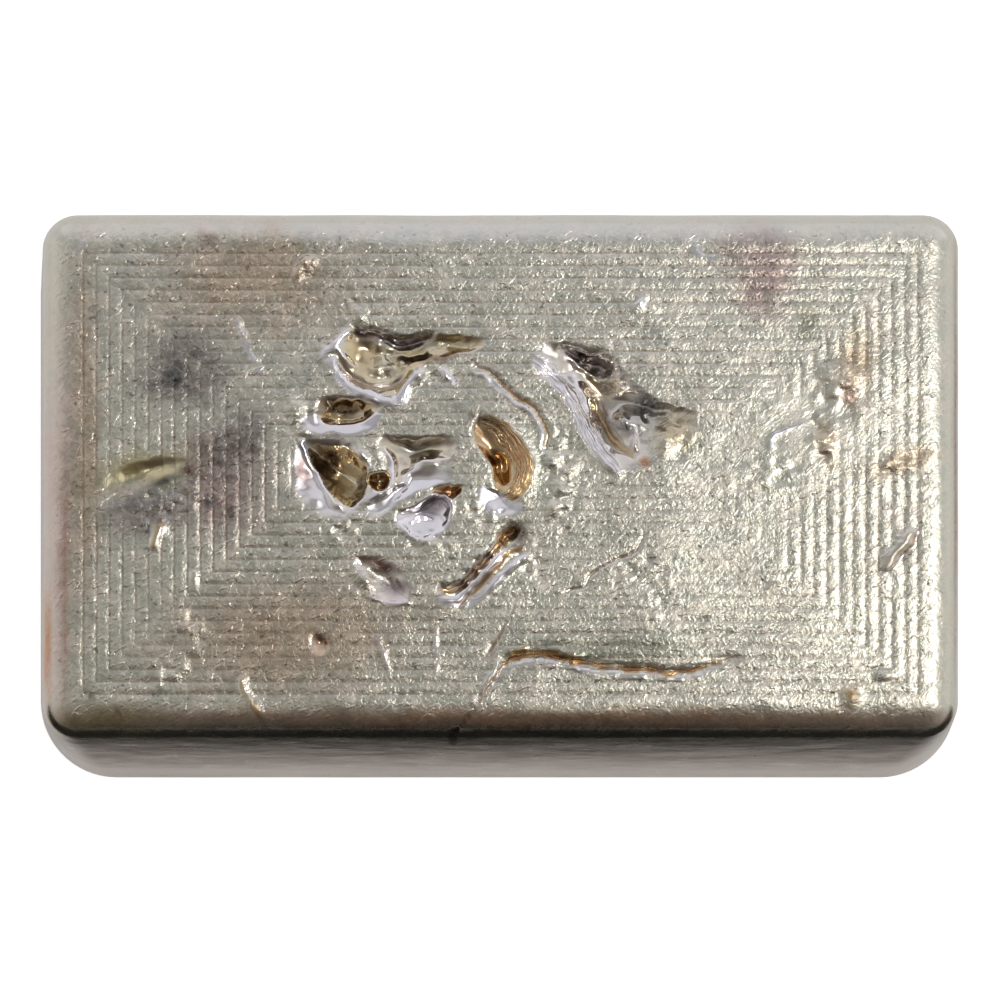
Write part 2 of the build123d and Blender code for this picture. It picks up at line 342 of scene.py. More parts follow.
folds = [
    # The undercuts along the upper edges of the folded and the great hollow
    fold([(-13.8, 13.0), (-11.6, 12.7), (-9.4, 12.2), (-7.4, 12.5), (-6.0, 12.9)], 0.40, -0.9, gold=0.1),
    fold([(5.6, 11.6), (7.4, 11.0), (9.0, 10.5), (10.2, 9.6)], 0.55, -0.9, gold=0.1),
    # In the folded hollow: the bright streak down its left and the crease inside its lip
    fold([(-15.1, 11.6), (-14.4, 10.6), (-13.4, 9.8)], 0.26, 0.32),
    fold([(-15.2, 10.5), (-14.2, 9.2), (-12.5, 8.2), (-10.6, 7.9), (-8.6, 9.2)], 0.20, -0.45, gold=0.2),
    # Lips of the folded hollow: the pale roll below it, and the broken one at its upper left
    fold([(-16.6, 10.4), (-15.6, 10.3), (-15.0, 9.1), (-13.8, 8.0), (-12.2, 7.2), (-10.6, 6.6), (-9.4, 6.8),
          (-8.6, 8.0), (-7.8, 8.9), (-7.0, 9.8)], 0.55, 0.24, stripes=0.3),
    fold([(-16.8, 10.9), (-15.6, 11.6), (-14.6, 12.6), (-13.7, 13.2)], 0.40, 0.30, stripes=0.3),
    fold([(-5.4, 9.8), (-4.8, 8.9), (-4.2, 8.2)], 0.35, 0.25, stripes=0.2),
    # The bright ridge between the round pit and its bevel, and on to the curved wall of the channel
    fold([(-18.4, 3.0), (-17.6, 1.3), (-17.0, 0.1), (-16.1, -1.4), (-15.2, -2.8), (-14.4, -3.5)], 0.24,
         0.28),
    fold([(-10.7, 2.3), (-10.1, 1.1), (-10.0, -0.2), (-10.5, -1.4), (-11.8, -2.1), (-13.4, -2.6)], 0.30,
         0.50),
    fold([(-8.4, 0.7), (-7.2, 1.1), (-6.0, 1.3), (-4.7, 1.2)], 0.16, 0.14),
    # The white rim of the kidney, above and below
    fold([(-8.1, -3.3), (-7.2, -2.7), (-6.4, -2.2), (-5.6, -2.0), (-4.9, -2.3), (-4.5, -3.0), (-4.6, -4.0),
          (-5.2, -4.9)], 0.22, 0.40),
    fold([(-9.6, -3.8), (-9.3, -4.8), (-8.2, -5.7), (-6.9, -6.0), (-5.9, -5.7), (-5.3, -4.9)], 0.24, 0.25),
    # The striped flow, which turned as it froze
    fold([(-2.0, 5.0), (-0.7, 4.5), (0.6, 3.5), (1.5, 2.3), (2.1, 0.9), (2.1, -0.4), (1.4, -1.6),
          (0.2, -2.2)], 0.95, 0.50, gold=0.90, stripes=1.0),
    # The diagonal seam: a bright ridge with a gap on each side of it
    fold([(-5.8, -10.6), (-4.4, -10.9), (-3.2, -10.0), (-2.3, -8.9), (-1.4, -7.9), (-0.4, -6.9),
          (0.5, -5.8), (1.8, -4.8)], 0.42, -0.75, gold=0.75, stripes=0.3),
    fold([(-4.2, -12.2), (-2.6, -11.0), (-1.4, -9.6), (-0.4, -8.4), (0.7, -7.4), (2.4, -6.6)], 0.40, -0.16,
         gold=0.85, stripes=0.3),
    fold([(-6.0, -11.9), (-4.6, -11.7), (-3.3, -10.9), (-2.4, -9.8), (-1.4, -8.7), (-0.5, -7.7),
          (0.6, -6.9)], 0.62, 0.30),
    fold([(0.0, -6.4), (0.6, -5.6), (1.4, -4.8)], 0.50, -0.80, gold=0.6),
    fold([(-3.4, -12.6), (-1.2, -10.9), (0.6, -8.9), (2.6, -7.4)], 0.34, 0.16, stripes=0.3),
    # In the great hollow: the dark crease beside its bead and the white ridge above it
    fold([(8.6, 7.2), (9.3, 5.8), (10.0, 4.4), (11.2, 2.6), (12.6, 1.4)], 0.36, -0.60, gold=0.55),
    fold([(6.6, 9.6), (7.2, 8.4), (7.9, 7.0), (8.5, 5.8)], 0.42, 0.40),
    # The striped lip along the left of the great hollow
    fold([(2.8, 10.9), (4.4, 9.6), (5.9, 8.0), (7.0, 6.0), (8.0, 4.0), (9.3, 2.0), (11.4, -0.3)], 0.75,
         0.22, stripes=0.8),
    # The upper seam with the pale slope beside it
    fold([(-2.6, 9.9), (-1.2, 9.4), (0.3, 8.2), (1.4, 7.2), (2.5, 6.5), (3.4, 5.7), (4.0, 4.4), (4.3, 3.5),
          (4.2, 2.0)], 0.18, -0.34, gold=0.9),
    fold([(-2.9, 9.5), (-1.5, 8.9), (-0.1, 7.7), (1.0, 6.7), (2.1, 6.0), (2.9, 5.3), (3.5, 4.3), (3.8, 3.3),
          (3.7, 2.0)], 0.20, 0.10, gold=0.05, stripes=0.2),
    # The lower seam with its pale lower lip, and the fine end of it that runs over the rim
    fold([(22.0, -16.9), (19.8, -17.6), (17.4, -18.2), (14.7, -18.3), (11.9, -17.9), (9.1, -17.6),
          (6.8, -17.3), (4.7, -16.8), (2.4, -16.6), (0.8, -17.2), (-0.1, -18.1), (-0.8, -19.4),
          (-1.8, -20.9), (-2.7, -22.4)], 0.30, -0.55, gold=1.0, stripes=0.8),
    fold([(20.8, -17.9), (17.4, -18.85), (14.7, -18.95), (11.9, -18.55), (9.1, -18.25), (6.8, -17.95),
          (4.7, -17.45), (2.6, -17.3), (1.3, -17.9), (0.4, -18.9)], 0.14, 0.05),
    fold([(0.2, -17.4), (-0.7, -18.8), (-1.6, -20.6), (-2.4, -22.0)], 0.46, 0.26, gold=0.25),
    fold([(0.4, -16.4), (2.4, -16.2), (5.0, -16.5), (8.0, -17.1)], 0.26, 0.16, gold=0.95),
    fold([(-2.5, -21.9), (-4.0, -23.8), (-5.4, -24.9)], 0.20, -0.20, gold=0.6),
    # Short seams
    fold([(13.4, -5.5), (12.7, -7.0), (10.3, -8.2), (8.5, -9.2), (7.6, -10.4), (5.9, -10.9)], 0.10, -0.16,
         gold=0.4),
    fold([(0.7, -13.6), (-0.2, -15.5), (-1.3, -17.1)], 0.18, -0.20, gold=0.4),
    fold([(-12.4, -11.3), (-10.0, -11.9), (-8.2, -12.0)], 0.16, 0.18),
    # Scratches, most with a raised burr of bare metal, and nicks
    fold([(-24.4, 14.3), (-23.4, 11.6), (-22.0, 8.6)], 0.18, 0.17),
    fold([(-31.2, -3.8), (-31.8, -5.6), (-32.3, -7.2)], 0.46, 0.40, gold=0.60),
    fold([(-28.2, -8.8), (-28.4, -10.8)], 0.34, 0.30, gold=0.35),
    fold([(-24.1, -18.8), (-23.4, -20.6), (-22.0, -22.6)], 0.36, 0.34, gold=0.65),
    fold([(-11.6, -14.9), (-10.9, -16.6), (-10.2, -18.1)], 0.16, 0.12),
    fold([(-5.9, -14.2), (-5.9, -18.3)], 0.14, 0.10),
    fold([(35.4, -9.0), (36.6, -7.2), (38.2, -4.9)], 0.55, 0.26, gold=0.35),
    fold([(36.6, -8.6), (37.8, -6.6), (38.8, -5.0)], 0.30, -0.25, gold=0.30),
    fold([(25.1, 2.2), (25.2, 3.6), (28.0, 4.7)], 0.16, 0.12),
    fold([(-39.5, 20.1), (-37.6, 21.7)], 0.18, 0.14, gold=0.2),
    fold([(-35.9, -21.4), (-35.2, -22.0), (-34.9, -22.8)], 0.14, -0.12, gold=0.3),
    fold([(20.3, 19.4), (17.5, 20.6)], 0.18, 0.12),
    fold([(12.3, 15.2), (13.6, 16.2)], 0.22, 0.16),
]
fade_power = 0.4
free_from_swell = 0.25
shade_and_oxide_width = 0.6


def fold_relief(x, y):
    """Sum of the folds: height * fade * exp(-(d / width) ** 2) across the route at distance d. The fade,
    (4 * share * (1 - share)) ** fade_power, takes both ends down to nothing. Also the share that froze free,
    which is none up to a quarter of the full swell and all from a half, its gold, the painted shade (with
    some oxide) down the middle of gaps, and for stripes the distance across the striped route, the way along
    it and the strength."""
    relief, free, gold, shade_and_oxide = np.zeros_like(x), np.zeros_like(x), np.zeros_like(x), np.zeros_like(x)
    stripes = np.zeros(x.shape + (3,))
    for form in folds:
        across, share = from_route(x, y, form["route"])
        fade = np.where((share > 0) & (share < 1), np.clip(4 * share * (1 - share), 0, 1) ** fade_power, 0)
        swell = fade * np.exp(-(across / form["width"]) ** 2)
        relief += form["height"] * swell
        near = np.clip((swell - free_from_swell) / free_from_swell, 0, 1)
        gold = gold * (1 - near) + form["gold"] * near
        free = np.maximum(free, near)
        # A gap is painted darker down its middle: painted shade, with some oxide.
        if form["height"] < 0:
            shade_and_oxide = np.maximum(shade_and_oxide, fade * np.exp(-(across / (shade_and_oxide_width * form["width"])) ** 4))
        strength = near * form["stripes"]
        striped = strength > stripes[..., 2]
        stripes[striped] = np.stack([across, share * len(form["route"]), strength], -1)[striped]
    return relief, free, gold, shade_and_oxide, stripes


# The skin. Metal that froze against the floor is never quite flat: it is drawn into low waves and wrinkles.
# Here and below, each layer of waves has its height, its size and the seed of its random draws.
skin_layers = [(0.080, 7.3, 1), (0.050, 3.1, 2), (0.022, 1.5, 3)]
slanted_layers = [(0.009, 0.66, 4)]
slant = 0.4
lattice_size = 256


def cast_noise(x, y, size, seed):
    """Random relief from -1 to 1: random values on a square lattice, blended by the curve 3t^2 - 2t^3."""
    lattice = np.random.default_rng(seed).uniform(-1, 1, (lattice_size, lattice_size))
    u, v = x / size, y / size
    column, row = np.floor(u).astype(int), np.floor(v).astype(int)
    s, t = u - column, v - row
    s, t = s * s * (3 - 2 * s), t * t * (3 - 2 * t)
    left, right = column % lattice_size, (column + 1) % lattice_size
    front, back = row % lattice_size, (row + 1) % lattice_size
    near = lattice[left, front] * (1 - s) + lattice[right, front] * s
    far = lattice[left, back] * (1 - s) + lattice[right, back] * s
    return near * (1 - t) + far * t


def waves(x, y, layers):
    """Sum of layers of random relief, each times its height."""
    return sum(height * cast_noise(x, y, size, seed) for height, size, seed in layers)


def skin(x, y):
    """Four sizes of random waves, each lower and closer than the last. The closest ones lie aslant."""
    return waves(x, y, skin_layers) + waves(x + slant * y, y, slanted_layers)


# Where the skin broke up into small knobs and pits: middle, half sizes, turn, height
nubbly = [
    ((5.7, -0.6), (1.5, 4.6), 0.0, 0.16),
    ((-6.2, 9.0), (2.6, 1.1), 0.1, 0.14),
    ((-15.0, -5.0), (2.2, 1.1), 0.0, 0.16),
    ((-6.4, -6.4), (2.8, 0.9), 0.1, 0.16),
    ((-1.4, -3.6), (2.4, 1.2), 0.2, 0.12),
    ((2.8, -8.0), (1.6, 1.8), 0.4, 0.14),
    ((-18.6, 4.9), (1.4, 1.6), 0.2, 0.12),
    ((-13.4, -9.6), (1.8, 1.6), 0.5, 0.10),
    ((14.6, -11.2), (1.2, 3.0), 0.0, 0.08),
    ((16.0, 4.0), (2.4, 2.6), -0.5, 0.12),
    ((-17.9, 19.0), (1.8, 1.2), 0.2, 0.22),
    ((-28.2, -14.6), (1.2, 2.4), 0.1, 0.22),
    ((-30.0, -18.4), (3.2, 1.4), 0.1, 0.14),
    ((-8.9, -21.2), (0.8, 1.4), 0.0, 0.18),
    ((-10.4, 10.2), (1.7, 1.4), 0.0, 0.30),
    ((-30.4, -2.6), (4.4, 1.8), 0.35, 0.16),
    ((29.6, 3.2), (1.4, 2.4), 0.2, 0.14),
    ((37.0, 1.0), (2.6, 1.0), 0.3, 0.14),
    ((24.5, -0.4), (3.2, 2.0), 0.3, 0.10),
    ((31.0, 8.0), (2.4, 2.8), 0.2, 0.10),
    ((12.0, -9.0), (2.4, 1.6), 0.6, 0.08),
    ((-3.6, 19.4), (1.6, 0.8), 0.0, 0.10),
    ((-13.6, 15.8), (1.6, 1.2), 0.0, 0.12),
    ((12.6, 5.2), (1.8, 1.6), 0.3, 0.16),
    ((8.0, 10.2), (2.4, 0.8), -0.6, 0.16),
]
knob_layers = [(1.0, 0.75, 8), (0.6, 0.42, 9)]


def knobs(x, y):
    """Small knobs and pits: random relief of two sizes, times the height and strength of the nubbly ovals."""
    tallest = sum(height * soft_oval(x, y, at, size, turn) for at, size, turn, height in nubbly)
    return tallest * waves(x, y, knob_layers)


# What makes the face uneven: ragged edges of the cavities, a track that wanders and comes and goes, and
# ripples on what froze free
ragged_layers_x = [(0.17, 1.3, 31), (0.10, 0.55, 32)]
ragged_layers_y = [(0.17, 1.3, 33), (0.10, 0.55, 34)]
uneven_layers = [(0.35, 5.3, 5), (0.25, 1.3, 6)]
faintest_track, deepest_track = 0.3, 1.4
wander_layers = [(0.05, 1.7, 7)]
ripple_layers = [(0.14, 2.1, 35), (0.050, 0.85, 36)]


def face_relief(x, y):
    """All relief of the face. Where the surface froze free it took no track and no skin from the mould. The
    edges of hollows and folds are ragged, so their relief is that of a point a little to one side."""
    ragged_x = x + waves(x, y, ragged_layers_x)
    ragged_y = y + waves(x, y, ragged_layers_y)
    deep, free, gold = hollow_relief(ragged_x, ragged_y)
    folded, fold_free, fold_gold, shade_and_oxide, stripes = fold_relief(ragged_x, ragged_y)
    free = np.maximum(free, fold_free)
    gold = gold * (1 - fold_free) + fold_gold * fold_free
    uneven = np.clip(1.0 + waves(x, y, uneven_layers), faintest_track, deepest_track)
    kept = track_kept(x, y) * uneven * (1 - free)
    wander = waves(x, y, wander_layers)
    line, band = track(x + wander, y + wander)
    relief = (deep + dome_relief(x, y) + folded + knobs(x, y) + (1 - free) * skin(x, y)
              + free * waves(x, y, ripple_layers) + kept * (band_crown * band - line_depth * line))
    return relief, free, gold, stripes, kept * line, shade_and_oxide


# The mesh of the block: the face's grid, a strip down its rim, wall and foot, and the open face below
rim_points = 8
wall_points = 6
foot_points = 4
corner_steps = 15


def strip_profile():
    """Points down the side, as run outwards from the flat face, height and the tilt of the surface: the rim
    arc, the drafted wall and the foot's arc, each in even steps."""
    rim = np.linspace(0, rim_turn, rim_points)
    foot = np.linspace(rim_turn, math.pi, foot_points)
    foot_run = face_inset - foot_radius + foot_radius * np.sin(foot)
    foot_height = foot_radius + foot_radius * np.cos(foot)
    rim_run = rim_radius * np.sin(rim)
    rim_height = block_height - rim_radius + rim_radius * np.cos(rim)
    wall = np.linspace(0, 1, wall_points)[1:-1]
    wall_run = rim_run[-1] + wall * (foot_run[0] - rim_run[-1])
    wall_height = rim_height[-1] + wall * (foot_height[0] - rim_height[-1])
    run = np.concatenate([rim_run, wall_run, foot_run])
    height = np.concatenate([rim_height, wall_height, foot_height])
    tilt = np.concatenate([rim, np.full(len(wall), rim_turn), foot])
    return run, height, tilt


x_grid, y_grid = np.meshgrid(columns, rows, indexing="ij")
relief, free_face, gold_face, stripes_face, line_face, gap_face = face_relief(x_grid, y_grid)
face_points = np.stack([x_grid, y_grid, block_height + relief], -1).reshape(-1, 3)
index = np.arange(x_grid.size).reshape(x_grid.shape)
face_quads = np.stack([index[:-1, :-1], index[1:, :-1], index[1:, 1:], index[:-1, 1:]], -1).reshape(-1, 4)

# The loop round the grid, anticlockwise from above, with each corner repeated to fan out
loop, heading = [], []
for number, side in enumerate([index[:, 0], index[-1, :], index[::-1, -1], index[0, ::-1]]):
    square = (number - 1) * math.pi / 2
    loop += [side, np.full(corner_steps - 1, side[-1])]
    heading += [np.full(len(side), square), square + np.linspace(0, math.pi / 2, corner_steps + 1)[1:-1]]
loop, heading = np.concatenate(loop), np.concatenate(heading)

# The strip down the side. Folds run on over the rim, out to their reach. The skin's waves calm down over
# the rim to a part of their height on the wall, and nothing stands out from the lowest part of the foot.
# On the wall the skin is sampled aslant, so that its waves don't run straight down.
fold_reach = 3.2
calm_start, wall_calm = 1.15, 0.25
still_foot, foot_blend = 0.3, 2
wall_slant_x, wall_slant_y = 0.7, -0.9
run, height, tilt = strip_profile()
run, height, tilt = run[1:, None], height[1:, None], tilt[1:, None]
outward = np.stack([np.cos(heading), np.sin(heading)], -1)
ring_xy = face_points[loop][:, :2][None] + run[..., None] * outward[None]
ring_z = np.broadcast_to(height, ring_xy.shape[:2])
strip_normal = np.concatenate([outward[None] * np.sin(tilt)[..., None],
                               np.broadcast_to(np.cos(tilt)[..., None], ring_z.shape + (1,))], -1)
strip_fold, strip_free, strip_gold, strip_shade_and_oxide, _ = fold_relief(ring_xy[..., 0], ring_xy[..., 1])
on_rim = run < fold_reach
calm = np.clip(calm_start - run / rim_radius, wall_calm, 1)
strip_skin = skin(ring_xy[..., 0] + wall_slant_x * ring_z, ring_xy[..., 1] + wall_slant_y * ring_z)
lift = (strip_fold * on_rim + calm * strip_skin) * np.clip((height - still_foot) / foot_blend, 0, 1)
strip_points = np.concatenate([ring_xy, ring_z[..., None]], -1) + lift[..., None] * strip_normal

first = len(face_points)
ring_index = np.concatenate([loop[None], first + np.arange(ring_z.size).reshape(-1, len(loop))])
following = np.roll(ring_index, -1, 1)
strip_quads = np.stack([ring_index[:-1], ring_index[1:], following[1:], following[:-1]], -1).reshape(-1, 4)
is_corner = strip_quads[:, 0] == strip_quads[:, 3]

# The open face below: rings drawn in to the middle, the first ones with half the points of the ring before.
# A ring with an odd number of points gives one up to a closing triangle. Low waves, which come in over the
# outer sixth of the way, lift the face a little off the floor.
under_rings = 22
halved_rings = 2
under_rise = 0.14
under_layers = [(0.16, 7.0, 11), (0.05, 3.2, 12)]
wave_onset = 6
under_middle = [0, 0, 0.1]
vertices = [face_points, strip_points.reshape(-1, 3)]
quads = [face_quads, strip_quads[~is_corner]]
triangles = [strip_quads[is_corner][:, :3]]
current, ring_points = ring_index[-1], strip_points[-1]
strip_end = next_index = first + ring_z.size
for number, share in enumerate(np.linspace(1, 0, under_rings + 2)[1:-1]):
    if number < halved_rings:
        if len(ring_points) % 2:
            triangles.append(np.array([[current[-2], current[0], current[-1]]]))
            ring_points, current = ring_points[:-1], current[:-1]
        ring_points = ring_points[::2]
        fresh = next_index + np.arange(len(ring_points))
        a, b, c = current[0::2], current[1::2], np.roll(current, -2)[0::2]
        triangles += [np.stack([a, fresh, b], -1), np.stack([b, fresh, np.roll(fresh, -1)], -1),
                      np.stack([b, np.roll(fresh, -1), c], -1)]
    else:
        fresh = next_index + np.arange(len(ring_points))
        quads.append(np.stack([current, fresh, np.roll(fresh, -1), np.roll(current, -1)], -1))
    drawn = ring_points * [share, share, 1]
    rise = np.clip(under_rise + waves(drawn[:, 0], drawn[:, 1], under_layers), 0, 1)
    drawn[:, 2] = np.clip((1 - share) * wave_onset, 0, 1) * rise
    vertices.append(drawn)
    next_index += len(drawn)
    current = fresh
vertices.append(np.array([under_middle]))
triangles.append(np.stack([current, np.full(len(current), next_index), np.roll(current, -1)], -1))
vertices, quads, triangles = np.concatenate(vertices), np.concatenate(quads), np.concatenate(triangles)


def put(name, data):
    """An object with its data, in the scene at the origin."""
    made = bpy.data.objects.new(name, data)
    bpy.context.scene.collection.objects.link(made)
    return made


to_metres = 0.001
mesh = bpy.data.meshes.new("cast_ingot")
mesh.vertices.add(len(vertices))
mesh.vertices.foreach_set("co", (vertices * to_metres).ravel())
mesh.loops.add(quads.size + triangles.size)
mesh.loops.foreach_set("vertex_index", np.concatenate([quads.ravel(), triangles.ravel()]))
mesh.polygons.add(len(quads) + len(triangles))
mesh.polygons.foreach_set("loop_start", np.concatenate([np.arange(len(quads)) * 4,
                                                        quads.size + np.arange(len(triangles)) * 3]))
mesh.update(calc_edges=True)
mesh.validate()
mesh.shade_smooth()
ingot = put("cast_ingot", mesh)

# Tarnish: soft patches of oxide, each an oval with a ragged edge, and among them patches of painted shade and
# one of painted reflection
violet_grey = (0.36, 0.32, 0.36)
rosy_brown = (0.84, 0.69, 0.60)
purple_rose = (0.60, 0.46, 0.50)
warm_brown = (0.84, 0.70, 0.58)
olive = (0.80, 0.75, 0.50)
tan = (0.90, 0.80, 0.60)
warm_gold = (0.85, 0.62, 0.34)
soot_green = (0.55, 0.58, 0.52)
red_brown = (0.84, 0.58, 0.46)
lavender_rose = (1.00, 0.86, 0.95)
blue_black = (0.16, 0.18, 0.22)
brown_black = (0.16, 0.11, 0.10)
dark_brown = (0.36, 0.22, 0.20)
pink_brown = (0.66, 0.47, 0.42)
slate = (0.56, 0.59, 0.62)
rust = (0.85, 0.42, 0.22)
# Near-black painted shade for the band along the front rim
rim_painted_shade = (0.24, 0.22, 0.21)
# A painted pale lavender reflection, lighter than the metal
painted_pale_reflection = (1.08, 1.10, 1.20)

# Each patch: middle, half sizes, turn, colour. The large ones on the face and the rim come first.
tarnish_and_light_patches = [
    ((-29.9, 9.6), (4.2, 3.4), 0.2, violet_grey),
    ((-24.8, 3.0), (4.0, 2.6), 0.9, violet_grey),
    ((-25.2, -1.8), (3.6, 4.2), 0.2, purple_rose),
    ((-32.6, -3.4), (4.4, 2.2), 0.3, violet_grey),
    ((24.2, 18.8), (2.9, 3.8), 0.2, purple_rose),
    ((-23.0, 17.6), (8.5, 4.4), 0.1, rosy_brown),
    ((-19.0, -15.0), (11.0, 4.5), 0.1, rosy_brown),
    ((33.0, 10.0), (1.8, 3.6), 0.0, warm_brown),
    ((37.2, 1.1), (3.4, 1.1), 0.3, warm_brown),
    ((30.0, 3.0), (1.2, 2.3), 0.2, warm_brown),
    ((28.2, 13.9), (1.4, 1.5), 0.0, soot_green),
    ((-33.0, 0.2), (5.0, 1.8), 0.2, olive),
    ((-37.0, -23.0), (5.4, 1.3), 0.0, olive),
    ((10.0, -16.0), (8.0, 1.4), 0.0, soot_green),
    ((-38.6, 4.0), (1.6, 16.0), 0.0, rosy_brown),
    ((-41.2, -4.0), (1.5, 19.0), 0.0, lavender_rose),
    ((-40.3, -10.0), (0.5, 11.0), 0.0, pink_brown),
    ((-42.2, -16.0), (0.40, 5.0), 0.0, rust),
    # Along the front rim, painted shade: the dark room that the rim mirrors, painted in as a reddish-brown
    # band, part tarnish, over near-black bands.
    ((4.0, -22.7), (40.0, 0.8), 0.0, red_brown),
    ((0.0, -23.55), (46.0, 0.45), 0.0, rim_painted_shade),
    ((0.0, -24.25), (46.0, 0.45), 0.0, soot_green),
    ((0.0, -25.0), (44.0, 0.60), 0.0, rim_painted_shade),
    # Along the back rim, a painted reflection: paler, lavender metal where the rim mirrors the pale side of
    # the room.
    ((0.0, 22.8), (42.0, 1.5), 0.0, painted_pale_reflection),
    ((2.0, 20.95), (40.0, 0.22), 0.0, soot_green),
    ((42.3, 2.0), (0.25, 20.0), 0.0, dark_brown),
    # In the hollows below, the blue-black, brown-black and dark-brown patches are painted shade: the dark
    # room that steep walls mirror, painted into the colour.
    # In the folded hollow, the slot and the round pit
    ((-8.9, 12.4), (2.8, 0.50), 0.0, blue_black),
    ((-12.8, 13.0), (1.1, 0.25), 0.0, brown_black),
    ((-12.6, 10.8), (1.9, 1.6), 0.0, tan),
    ((-8.4, 10.8), (1.8, 1.2), 0.0, tan),
    ((-4.2, 12.0), (2.2, 0.8), 0.0, tan),
    ((-5.8, 10.7), (2.2, 0.30), 0.15, dark_brown),
    ((-14.9, 5.9), (2.0, 0.70), 0.0, brown_black),
    ((-14.9, 5.9), (1.8, 0.55), 0.0, brown_black),
    ((-14.4, 6.5), (2.4, 0.35), 0.0, pink_brown),
    ((-17.9, 2.4), (0.55, 1.0), 0.3, blue_black),
    ((-16.0, 1.6), (1.3, 1.4), 0.0, brown_black),
    ((-18.4, 0.2), (0.8, 1.3), 0.2, pink_brown),
    # In the channel, the kidney and the striped flow
    ((-10.9, -0.7), (0.55, 0.6), 0.0, brown_black),
    ((-6.1, 2.9), (1.9, 0.32), 0.0, brown_black),
    ((-8.2, 2.3), (1.6, 0.7), 0.0, slate),
    ((-4.9, -1.7), (1.2, 0.42), 0.2, dark_brown),
    ((-6.3, -3.3), (1.3, 0.8), 0.5, violet_grey),
    ((-1.5, 5.0), (1.6, 0.40), -0.3, brown_black),
    ((-0.2, 4.4), (1.1, 0.22), -0.7, brown_black),
    ((-2.2, 4.0), (0.8, 0.22), -0.8, dark_brown),
    ((-0.8, 1.5), (0.8, 0.6), 0.0, dark_brown),
    # In the wedge, beside the diagonal seam and in the great hollow
    ((-11.2, -8.3), (2.2, 0.45), -0.25, dark_brown),
    ((-9.6, -10.4), (1.3, 0.9), 0.0, violet_grey),
    ((1.8, -5.6), (0.8, 1.0), 0.0, brown_black),
    ((-3.5, -9.9), (0.35, 0.35), 0.0, brown_black),
    ((-2.3, -8.7), (0.35, 0.35), 0.0, brown_black),
    ((-1.2, -7.5), (0.35, 0.35), 0.0, brown_black),
    ((7.3, 10.8), (1.2, 0.50), -0.3, blue_black),
    ((9.1, 9.8), (1.1, 0.75), -0.5, blue_black),
    ((12.4, 5.3), (2.9, 2.2), 0.3, slate),
    ((13.4, 6.0), (1.3, 1.1), 0.3, slate),
    ((9.0, 8.2), (2.2, 1.0), -0.8, tan),
    ((16.0, 4.2), (2.4, 2.0), 0.0, tan),
    ((9.9, 6.0), (0.35, 1.4), 0.2, dark_brown),
    ((13.2, 1.1), (0.5, 0.5), 0.0, rust),
    # Dark spots on the face and the rim, and a gold bead
    ((32.3, -20.5), (0.9, 0.8), 0.0, warm_gold),
    ((-31.2, -0.7), (1.4, 0.35), 0.3, blue_black),
    ((-28.8, 0.4), (0.9, 0.45), 0.2, dark_brown),
    ((-30.2, 9.0), (1.1, 0.8), 0.2, blue_black),
    ((-28.2, 11.0), (0.8, 0.5), 0.2, violet_grey),
    ((-25.0, -3.4), (0.9, 0.6), 0.2, violet_grey),
    ((-16.6, -15.4), (0.9, 0.5), 0.0, dark_brown),
    ((-26.8, -2.7), (0.5, 0.6), 0.0, blue_black),
    ((-26.8, 21.5), (0.8, 0.5), 0.0, dark_brown),
    ((-38.2, -20.1), (0.35, 0.3), 0.0, brown_black),
    ((-37.7, -20.5), (0.25, 0.25), 0.0, brown_black),
    ((32.1, 7.2), (0.6, 1.4), 0.3, dark_brown),
]
wander_layers_x = [(1.0, 2.6, 21), (0.5, 0.9, 22)]
wander_layers_y = [(1.0, 2.6, 23), (0.5, 0.9, 24)]
widest_wander = 1.2
wander_share = 0.35


def tarnish_and_painted_light(x, y):
    """Colour that multiplies the metal's: each patch's, mixed in by exp(-s ** 3) at the oval share s. The
    point wanders first, by a share of the patch's smaller half size up to the widest wander, so that the
    edge is ragged."""
    wander_x, wander_y = waves(x, y, wander_layers_x), waves(x, y, wander_layers_y)
    colour = np.ones(x.shape + (4,))
    for at, size, turn, stain in tarnish_and_light_patches:
        reach = min(widest_wander, wander_share * min(size))
        share = oval_share(x + reach * wander_x, y + reach * wander_y, at, size, turn)
        colour[..., :3] *= 1 - np.exp(-share ** 3)[..., None] * (1 - np.array(stain))
    return colour


# What the finish needs to know of each point, as attributes: how free it froze, how gold its film is, how
# much grain the mould gave it, if it is on the wall, its stripes, and its colour patches (tarnish, painted
# shade and a painted reflection) with painted shade and some oxide in the track's lines and gaps over them
def point_attribute(name, kind, key, values):
    """An attribute with one value or vector for each point of the mesh."""
    data = mesh.attributes.new(name, kind, "POINT").data
    data.foreach_set(key, np.ascontiguousarray(values, np.float32).ravel())


def all_points(on_face, on_strip, below):
    """One value for each point of the mesh: the face's, the strip's, and one for all of the open face."""
    strip = np.broadcast_to(on_strip, ring_z.shape).ravel()
    return np.concatenate([on_face.ravel(), strip, np.full(len(vertices) - strip_end, below)])


# Where the face was left smooth: middle, half sizes, turn. The grain fades over the rim to a little of it on
# the wall, and painted shade, with some oxide, takes shares of the red, green and blue, more in gaps than in
# the track's lines.
smooth_patches = [
    ((28.0, 4.5), (5.5, 5.0), 0.4),
    ((-33.0, 0.0), (4.6, 1.8), 0.3),
]
grain_lost = 0.55
grain_fade, wall_grain, grain_below = 2.4, 0.18, 0.5
wall_start, wall_blend = 3.0, 0.5
free_below = 0.3
line_shade_and_oxide = [0.36, 0.42, 0.45, 0]
gap_shade_and_oxide = [0.50, 0.64, 0.70, 0]

grain_face = 1 - grain_lost * np.max([soft_oval(x_grid, y_grid, *patch) for patch in smooth_patches], 0)
grain_strip = np.clip(1 - run / grain_fade, wall_grain, 1)
wall_strip = np.clip((run - wall_start) / wall_blend, 0, 1)
stripes = np.stack([all_points(stripes_face[..., axis], 0, 0) for axis in range(3)], -1)
